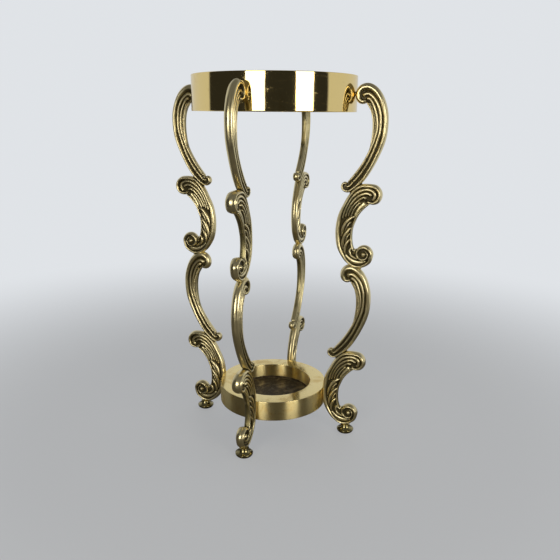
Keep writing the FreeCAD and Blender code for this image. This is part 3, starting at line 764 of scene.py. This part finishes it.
def leafRibs():
    rim = spiral(26.3, 97.0, (9.4, 10.3, 10.4, 10.6), -128, 92, (2.0, 3.2, 3.2, 3.0))
    rim += [
        (18.6, 107.8, 3.0), (11.6, 106.7, 3.0), (5.0, 102.6, 2.9), (0.1, 96.7, 2.8),
        (-4.1, 89.7, 2.9), (-7.7, 82.2, 3.0), (-11.1, 75.0, 3.2), (-13.7, 67.3, 3.5),
        (-15.3, 58.8, 3.7), (-16.0, 51.0, 3.8), (-16.0, 42.6, 3.8), (-15.1, 34.1, 3.8),
        (-13.3, 26.6, 3.7), (-10.7, 20.9, 3.5), (-7.4, 15.4, 3.3), (-4.1, 10.9, 3.1),
        (0.9, 6.6, 2.9), (5.6, 3.7, 2.8), (11.2, 2.8, 2.7), (17.4, 4.0, 2.7), (23.1, 7.1, 2.7),
        (26.8, 11.4, 2.8)]
    rim += spiral(19.0, 19.4, (9.7, 9.5, 8.6, 7.0, 5.6, 5.0), 0, 430,
        (2.9, 2.8, 2.6, 2.1, 1.5, 1.1))
    second = [
        (26.6, 89.4, 2.0), (29.8, 92.8, 2.3), (30.4, 98.0, 2.4), (27.4, 101.9, 2.4),
        (21.8, 103.6, 2.4), (15.4, 102.8, 2.3), (8.8, 99.6, 2.2), (2.7, 93.9, 2.1),
        (-2.0, 87.0, 2.0), (-5.6, 79.8, 1.9), (-8.4, 72.0, 1.7), (-10.2, 64.0, 1.3)]
    third = [
        (25.6, 94.2, 2.6), (24.8, 97.2, 2.1), (21.2, 98.8, 2.1), (16.8, 98.3, 2.1),
        (11.6, 95.9, 2.0), (6.2, 91.8, 2.0), (1.6, 86.4, 1.9), (-1.8, 80.2, 1.8), (-4.6, 73.4, 1.6),
        (-6.4, 66.4, 1.2)]
    fourth = [
        (19.6, 90.6, 2.4), (17.4, 93.4, 2.0), (13.6, 92.1, 1.9), (9.4, 88.9, 1.9), (4.9, 84.2, 1.8),
        (1.4, 79.0, 1.7), (-1.3, 73.0, 1.5), (-2.8, 67.6, 1.1)]
    fifth = [(13.0, 87.6, 1.3), (9.8, 84.6, 1.6), (6.8, 81.0, 1.6), (3.6, 75.6, 1.5),
        (1.6, 70.6, 1.4), (0.4, 66.0, 1.0)]
    panel = [(19.6, 87.4, 3.2), (15.4, 83.0, 3.8), (11.4, 78.6, 3.6), (8.0, 72.6, 3.2),
        (5.0, 65.4, 2.6)]
    inner = [
        (23.4, 85.4, 1.2), (19.0, 82.4, 1.5), (14.2, 77.4, 1.5), (10.3, 72.4, 1.5),
        (7.0, 66.3, 1.5), (4.7, 60.3, 1.4), (2.6, 54.0, 1.3), (1.6, 46.5, 1.3), (1.6, 38.6, 1.3),
        (2.5, 31.4, 1.3), (4.5, 25.4, 1.4), (7.6, 22.4, 1.4)]
    lobes = [
        [(6.2, 69.0, 1.4), (1.2, 66.4, 2.0), (-3.6, 62.0, 2.3), (-7.6, 55.6, 2.2),
        (-10.2, 48.0, 1.8), (-11.4, 40.6, 1.2)],
        [(2.8, 54.6, 1.3), (-1.8, 50.0, 1.9), (-5.6, 44.2, 2.2), (-8.2, 37.4, 2.0),
        (-9.2, 30.2, 1.6), (-8.8, 24.0, 1.1)],
        [(1.6, 39.4, 1.2), (-2.6, 34.4, 1.8), (-5.2, 28.4, 1.9), (-5.6, 22.4, 1.6),
        (-4.2, 17.4, 1.1)],
        [(1.0, 61.6, 0.9), (-2.6, 57.0, 1.3), (-5.2, 51.6, 1.3), (-7.4, 45.4, 1.0)],
        [(0.4, 46.8, 0.8), (-2.8, 41.6, 1.2), (-4.8, 36.0, 1.2), (-6.0, 29.8, 0.9)],
        [(3.6, 28.4, 1.2), (0.8, 23.4, 1.6), (2.2, 18.2, 1.6), (6.8, 14.6, 1.5), (12.2, 12.4, 1.1)]]
    band = [
        (-5.4, 18.6, 1.8), (-0.8, 13.6, 2.4), (5.0, 10.0, 2.9), (11.4, 8.6, 3.0), (17.4, 9.2, 2.8),
        (22.6, 12.2, 2.2)]
    web = [
        (25.5, 96.8, 10.0), (13.0, 92.6, 11.4), (2.6, 83.0, 10.2), (-3.6, 70.0, 9.6),
        (-7.0, 57.0, 9.4), (-8.2, 44.0, 9.2), (-7.0, 31.0, 9.0), (-3.2, 21.4, 8.4),
        (2.4, 14.0, 7.6), (9.8, 9.2, 6.2), (17.0, 8.8, 5.0)]
    ribs = [
        rib(rim, (6.0, 6.7, 6.7, 6.3, 5.6, 5.2, 5.0, 5.0, 5.0, 5.0, 5.1, 5.4, 5.8, 6.0, 6.0,
                  5.8, 5.4, 5.2), 1.4),
        rib(second, (5.2, 5.9, 5.9, 5.6, 5.2, 4.4), 1.0, 0, 1.28),
        rib(third, (6.0, 5.7, 5.6, 5.4, 5.0, 4.2), 1.0, 0, 1.28),
        rib(fourth, (5.8, 5.5, 5.2, 5.0, 4.2), 1.0, 0, 1.3),
        rib(fifth, (4.7, 4.8, 4.6, 4.0), 1.0, 0, 1.3),
        rib(inner, (3.9, 3.9, 3.9, 4.0, 4.3), 0.8),
        rib(panel, (3.4, 3.5, 3.5, 3.4), 0.35),
        rib(band, (3.8, 4.3, 4.6, 4.7, 4.4), 0.4),
        rib(web, (2.9, 2.7, 2.6, 2.5, 2.5, 2.7, 3.0), 0.45)]
    for number, lobe in enumerate(lobes):
        high = 5.5 if number < 3 else 4.6
        ribs.append(rib(lobe, (3.8, high, high, high - 0.3, 3.4), 1.0, 0, 1.4))
    return ribs


def curlFloors():
    # the floors and the eyes of the curls: x, z, radius, half depth, and how square its rim is
    up = casting["longUp"]
    return [
        (10.0, 120.6 + up, 7.2, 3.0, 0.5), (-8.0, 7.6 + up, 4.9, 3.1, 0.5),
        (26.3, 97.0, 11.4, 3.4, 0.4),
        (19.0, 19.4, 10.2, 4.0, 0.4), (8.6, 22.6, 3.4, 3.2, 0.4),
        (19.0, 19.6, 3.3, 6.2, 0.8)]


def discMesh(floors, rings=7, segments=40):
    vertices = []
    faces = []
    for x, z, radius, depth, square in floors:
        start = len(vertices)
        rows = 2 * rings + 1
        for row in range(rows):
            swing = -math.pi / 2 + math.pi * (row + 0.5) / rows
            wide = radius * math.cos(swing) ** square
            deep = depth * math.copysign(abs(math.sin(swing)) ** square, swing)
            for step in range(segments):
                angle = 2 * math.pi * step / segments
                vertices.append((x + wide * math.cos(angle), deep, z + wide * math.sin(angle)))
        for row in range(rows - 1):
            for step in range(segments):
                a = start + row * segments + step
                b = start + row * segments + (step + 1) % segments
                faces.append((a, a + segments, b + segments, b))
        faces.append(tuple(start + step for step in range(segments)))
        last = start + (rows - 1) * segments
        faces.append(tuple(last + step for step in reversed(range(segments))))
    return vertices, faces


def buildRibSweep():
    # sweeps a round section along every line, with rounded ends, and sets its depth
    tree, given, out = newGroup("ribSweep", "GeometryNodeTree", (
        ("Lines", "Geometry", None), ("Step", "Float", 0.9), ("Sides", "Int", 20),
        ("Material", "Material", None)), (("Ribs", "Geometry"),))

    curve = splineFrom(tree, given["Lines"], given["Step"])
    along = addNode(tree, "GeometryNodeSplineParameter").outputs["Length"]
    whole = addNode(tree, "GeometryNodeSplineLength").outputs["Length"]
    fromEnd = calc(tree, "MINIMUM", along, minus(tree, whole, along))
    near = calc(tree, "DIVIDE", fromEnd, namedValue(tree, "halfWidth"), clamp=True)
    tip = calc(tree, "SQRT", times(tree, near, minus(tree, 2.0, near)))
    tip = calc(tree, "MAXIMUM", tip, 0.08)
    for target, source in (("ribRadius", "halfWidth"), ("ribDepth", "halfDepth")):
        value = times(tree, namedValue(tree, source), tip)
        curve = addNode(tree, "GeometryNodeStoreNamedAttribute",
            {"Geometry": curve, "Name": target, "Value": value},
                        data_type="FLOAT", domain="POINT").outputs[0]
    section = addNode(tree, "GeometryNodeCurvePrimitiveCircle",
        {"Resolution": given["Sides"], "Radius": 1.0}).outputs[0]
    mesh = addNode(tree, "GeometryNodeCurveToMesh", {
        "Curve": curve, "Profile Curve": section, "Scale": namedValue(tree, "ribRadius"),
        "Fill Caps": True}).outputs[0]
    place = addNode(tree, "GeometryNodeInputPosition").outputs[0]
    x, y, z = addNode(tree, "ShaderNodeSeparateXYZ", {0: place}).outputs
    share = calc(tree, "DIVIDE", calc(tree, "ABSOLUTE", y), namedValue(tree, "ribRadius"),
        clamp=True)
    depth = times(tree, calc(tree, "POWER", share, namedValue(tree, "fullness")),
        namedValue(tree, "ribDepth"))
    depth = times(tree, depth, calc(tree, "SIGN", y))
    moved = addNode(tree, "ShaderNodeCombineXYZ", {0: x, 1: depth, 2: z}).outputs[0]
    mesh = addNode(tree, "GeometryNodeSetPosition",
        {"Geometry": mesh, "Position": moved}).outputs[0]
    tree.links.new(realized(tree, mesh, given["Material"]), out["Ribs"])
    return tree


def buildBeadBand():
    # rows of small beads along a line, on both faces, lying across it
    tree, given, out = newGroup("beadBand", "GeometryNodeTree", (
        ("Lines", "Geometry", None), ("Pitch", "Float", 1.2), ("Bead Height", "Float", 0.6),
        ("Material", "Material", None)), (("Beads", "Geometry"),))

    curve = splineFrom(tree, given["Lines"], given["Pitch"])
    tangent = addNode(tree, "GeometryNodeInputTangent").outputs[0]
    turn = addNode(tree, "FunctionNodeAlignRotationToVector", {"Vector": tangent}, axis="X",
        pivot_axis="Y").outputs[0]
    bead = addNode(tree, "GeometryNodeMeshUVSphere",
        {"Segments": 10, "Rings": 6, "Radius": 1.0}).outputs[0]
    size = addNode(tree, "ShaderNodeCombineXYZ", {
        0: times(tree, given["Pitch"], 0.46), 1: given["Bead Height"],
        2: namedValue(tree, "halfWidth")}).outputs[0]
    rows = addNode(tree, "GeometryNodeJoinGeometry")
    for side in (1.0, -1.0):
        lift = addNode(tree, "ShaderNodeCombineXYZ",
            {1: times(tree, namedValue(tree, "halfDepth"), side)}).outputs[0]
        row = addNode(tree, "GeometryNodeSetPosition",
            {"Geometry": curve, "Offset": lift}).outputs[0]
        row = addNode(tree, "GeometryNodeInstanceOnPoints", {
            "Points": row, "Instance": bead, "Rotation": turn, "Scale": size}).outputs[0]
        tree.links.new(row, rows.inputs[0])
    tree.links.new(realized(tree, rows.outputs[0], given["Material"]), out["Beads"])
    return tree


def lineMesh(name, ribs):
    vertices = []
    edges = []
    halfWidth = []
    halfDepth = []
    fullness = []
    for line in ribs:
        points = line["points"]
        start = len(vertices)
        share = np.linspace(0, 1, len(points))
        depth = np.interp(share, np.linspace(0, 1, len(line["thick"])), line["thick"])
        for (x, z, half), deep in zip(points, depth):
            vertices.append((x, 0.0, z))
            halfWidth.append(half)
            halfDepth.append(deep)
            fullness.append(line["full"])
        edges += [(start + i, start + i + 1) for i in range(len(points) - 1)]
    thing = meshObject(name, vertices, [], edges)
    storeValue(thing.data, "halfWidth", halfWidth)
    storeValue(thing.data, "halfDepth", halfDepth)
    storeValue(thing.data, "fullness", fullness)
    return thing


def runTree(thing, tree, values):
    modifier = thing.modifiers.new(tree.name, "NODES")
    modifier.node_group = tree
    for label, value in values.items():
        modifier[socketId(tree, label)] = value
    return modifier


def neighbours(mesh):
    pairs = np.empty(len(mesh.edges) * 2, np.int32)
    mesh.edges.foreach_get("vertices", pairs)
    return pairs.reshape(-1, 2)


def relax(points, pairs, rounds, share=0.5):
    count = len(points)
    first = pairs[:, 0]
    second = pairs[:, 1]
    degree = np.maximum(np.bincount(np.concatenate((first, second)), minlength=count), 1)
    for _ in range(rounds):
        total = np.empty_like(points)
        for axis in range(points.shape[1]):
            column = points[:, axis]
            forth = np.bincount(first, column[second], count)
            total[:, axis] = forth + np.bincount(second, column[first], count)
        points = points + share * (total / degree[:, None] - points)
    return points


def keepOutside(thing):
    # the skin also wraps small closed hollows inside; only the outer shell is kept
    mesh = thing.data
    pairs = neighbours(mesh)
    labels = np.arange(len(mesh.vertices))
    while True:
        low = np.minimum(labels[pairs[:, 0]], labels[pairs[:, 1]])
        fresh = labels.copy()
        np.minimum.at(fresh, labels[pairs[:, 0]], low)
        np.minimum.at(fresh, labels[pairs[:, 1]], low)
        while not np.array_equal(fresh, fresh[fresh]):
            fresh = fresh[fresh]
        if np.array_equal(fresh, labels):
            break
        labels = fresh
    shell = labels == np.bincount(labels).argmax()
    order = np.cumsum(shell) - 1
    kept = (p.vertices for p in mesh.polygons if shell[p.vertices[0]])
    faces = [tuple(int(order[v]) for v in face) for face in kept]
    outside = bpy.data.meshes.new(mesh.name)
    outside.from_pydata(coordinates(mesh)[shell].tolist(), [], faces)
    thing.data = outside
    return outside


def nearLine(points, line):
    # distance of points (x, z) from a chain, with the chain's half width there
    best = np.full(len(points), 1e9)
    half = np.zeros(len(points))
    for start, end in zip(line[:-1], line[1:]):
        a = np.array(start[:2])
        gap = np.array(end[:2]) - a
        t = np.clip(((points - a) @ gap) / (gap @ gap), 0, 1)
        away = np.linalg.norm(points - a - t[:, None] * gap, axis=1)
        closer = away < best
        best = np.where(closer, away, best)
        half = np.where(closer, start[2] + (end[2] - start[2]) * t, half)
    return best, half


def makePattern():
    up = casting["longUp"]
    ribs = longRibs() + leafRibs()
    pattern = lineMesh("castingPattern", ribs)
    runTree(pattern, buildRibSweep(), {"Step": casting["step"], "Sides": casting["sides"],
        "Material": castBrass})
    swept = makePlain(pattern)
    start = len(swept.vertices)
    vertices, faces = discMesh(curlFloors())
    joined = coordinates(swept).tolist() + vertices
    faces = [tuple(v + start for v in face) for face in faces]
    faces = [tuple(p.vertices) for p in swept.polygons] + faces
    bpy.data.objects.remove(pattern)
    pattern = meshObject("castingSkin", joined, faces)
    skin = pattern.modifiers.new("oneSkin", "REMESH")
    skin.mode = "VOXEL"
    skin.voxel_size = casting["voxel"]
    makePlain(pattern)
    mesh = keepOutside(pattern)
    points = coordinates(mesh)
    pairs = neighbours(mesh)
    for _ in range(casting["smooth"]):
        points = relax(relax(points, pairs, 1, casting["smoothIn"]), pairs, 1, casting["smoothOut"])
    points = relax(points, pairs, 1, casting["smoothLast"])
    setCoordinates(mesh, points)
    thin = pattern.modifiers.new("lighter", "DECIMATE")
    thin.ratio = casting["triangles"] / sum(len(p.vertices) - 2 for p in mesh.polygons)
    mesh = makePlain(pattern)
    points = coordinates(mesh)
    pairs = neighbours(mesh)
    # how deep each point lies under the skin smoothed over 2 mm or so; it darkens the hollows with
    # patina and painted shade
    normals = np.empty(len(mesh.vertices) * 3, np.float32)
    mesh.vertices.foreach_get("normal", normals)
    normals = normals.reshape(-1, 3)
    hollow = np.einsum("ij,ij->i", relax(points, pairs, 14) - points, normals) * 2.2
    wide = np.einsum("ij,ij->i", relax(points, pairs, 60) - points, normals) * 0.9
    hollow = relax((hollow + wide)[:, None], pairs, 1)[:, 0]
    flat = points[:, [0, 2]]
    stipple = np.zeros(len(points))
    panels = (
        [(18.6, 86.4, 1.8), (12.6, 80.6, 2.0), (8.0, 73.4, 1.6)],
        [(-0.8, 13.6, 1.6), (5.0, 10.0, 2.0), (11.4, 8.6, 2.2), (17.4, 9.2, 1.8)],
        [(31.4, 105.0 + up, 1.6), (33.0, 90.0 + up, 1.8), (32.2, 76.0 + up, 1.8),
        (28.0, 60.0 + up, 1.6), (21.0, 44.0 + up, 1.4)])
    for panel in panels:
        away, half = nearLine(flat, panel)
        stipple = np.maximum(stipple, np.clip((half + 0.6 - away) / 0.8, 0, 1))
    beadLine = [
        (18.6, 110.2, 1.5), (22.0, 104.0, 1.6), (24.6, 97.0, 1.7), (26.4, 89.0, 1.8),
        (26.8, 80.0, 1.7), (25.6, 70.0, 1.5), (23.2, 61.0, 1.2), (20.8, 53.6, 0.9)]
    beads = lineMesh("beadLines", [rib(beadLine, (3.3, 3.2, 3.1, 3.1, 3.0), 1.0, up)])
    runTree(beads, buildBeadBand(), {"Pitch": casting["beadPitch"],
        "Bead Height": casting["beadHeight"], "Material": castBrass})
    beadMesh = makePlain(beads)
    beadPoints = coordinates(beadMesh)
    faces = [tuple(p.vertices) for p in mesh.polygons]
    start = len(points)
    faces += [tuple(v + start for v in p.vertices) for p in beadMesh.polygons]
    whole = bpy.data.meshes.new("casting")
    whole.from_pydata(np.vstack((points, beadPoints)).tolist(), [], faces)
    # beads darken towards the ground they stand on and lighten at their tops: painted shade and
    # patina at the foot, wear on top
    low = np.clip((3.1 - np.abs(beadPoints[:, 1])) * 2.0, -0.3, 0.8)
    storeValue(whole, "hollow", np.concatenate((hollow, low)))
    storeValue(whole, "stipple", np.concatenate((stipple, np.zeros(len(beadPoints)))))
    for thing in (pattern, beads):
        bpy.data.objects.remove(thing)
    print("casting pattern: %d faces" % len(whole.polygons))
    return whole


def makeCastings():
    pattern = makePattern()
    drawn = coordinates(pattern)
    for leg, turn in legTurns.items():
        for level in ("upper", "lower"):
            points = drawn.copy()
            if level == "lower":
                # flats where the back bears on the base ring and the bottom on the foot
                under, over, gap = casting["ringFlat"]
                onRing = (points[:, 2] > under) & (points[:, 2] < over)
                seat = baseHigh.x * 1000 + gap - casting["lowerOut"]
                points[onRing, 0] = np.maximum(points[onRing, 0], seat)
                points[:, 2] = np.maximum(points[:, 2], casting["footFlat"])
            points[:, 0] += casting[level + "Out"]
            points[:, 2] += casting[level + "Up"]
            points[:, 0] = np.minimum(points[:, 0], casting["reach"])
            angle = math.radians(turn)
            turned = points.copy()
            turned[:, 0] = points[:, 0] * math.cos(angle) - points[:, 1] * math.sin(angle)
            turned[:, 1] = points[:, 0] * math.sin(angle) + points[:, 1] * math.cos(angle)
            mesh = pattern.copy()
            setCoordinates(mesh, turned * 0.001)
            thing = bpy.data.objects.new("%s%sCasting" % (leg, level.capitalize()), mesh)
            bpy.context.scene.collection.objects.link(thing)
            putOn(thing, "frame", "cast_brass", castBrass, "%s_%s_casting" % (leg, level))
    bpy.data.meshes.remove(pattern)


makeCastings()
print("castings ready")


# the braze where each upper casting stands on its lower one

braze = {"out": 113.6, "up": 239.4, "long": 9.2, "wide": 4.6, "high": 3.0, "ripple": 0.35,
    "rings": 22, "segments": 48}


def makeBraze():
    rings = braze["rings"]
    segments = braze["segments"]
    for leg, turn in legTurns.items():
        vertices = [(braze["out"], 0.0, braze["up"] - braze["high"])]
        for ring in range(1, rings):
            swing = -math.pi / 2 + math.pi * ring / rings
            for step in range(segments):
                angle = 2 * math.pi * step / segments
                # the ends run out thin, and the sides have sagged a little as they froze
                ripple = braze["ripple"] * math.sin(3 * angle + turn)
                wide = braze["wide"] + ripple * math.cos(swing) ** 2
                high = braze["high"] + braze["ripple"] * math.sin(2 * angle + 1.3 * turn)
                vertices.append((
                    braze["out"] + braze["long"] * math.cos(swing) * math.cos(angle),
                    wide * math.cos(swing) * math.sin(angle), braze["up"] + high * math.sin(swing)))
        vertices.append((braze["out"], 0.0, braze["up"] + braze["high"]))
        last = len(vertices) - 1
        faces = [(0, 1 + (step + 1) % segments, 1 + step) for step in range(segments)]
        for ring in range(rings - 2):
            for step in range(segments):
                a = 1 + ring * segments + step
                b = 1 + ring * segments + (step + 1) % segments
                faces.append((a, b, b + segments, a + segments))
        top = last - segments
        faces += [(last, top + step, top + (step + 1) % segments) for step in range(segments)]
        spin = Matrix.Rotation(math.radians(turn), 3, "Z")
        points = [tuple(spin @ Vector(point) * 0.001) for point in vertices]
        seam = meshObject(leg + "Braze", points, faces)
        putOn(seam, "frame", "cast_brass", brazeBrass)


makeBraze()
print("braze ready")


# screws, studs, washers and nuts keep their shapes

for name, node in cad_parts.items():
    if name.endswith(("_top_screw", "_base_stud", "_base_washer", "_base_nut")):
        for place in range(len(node.data.materials)):
            node.data.materials[place] = fastenerBrass
print("fasteners ready")

bpy.context.view_layer.update()
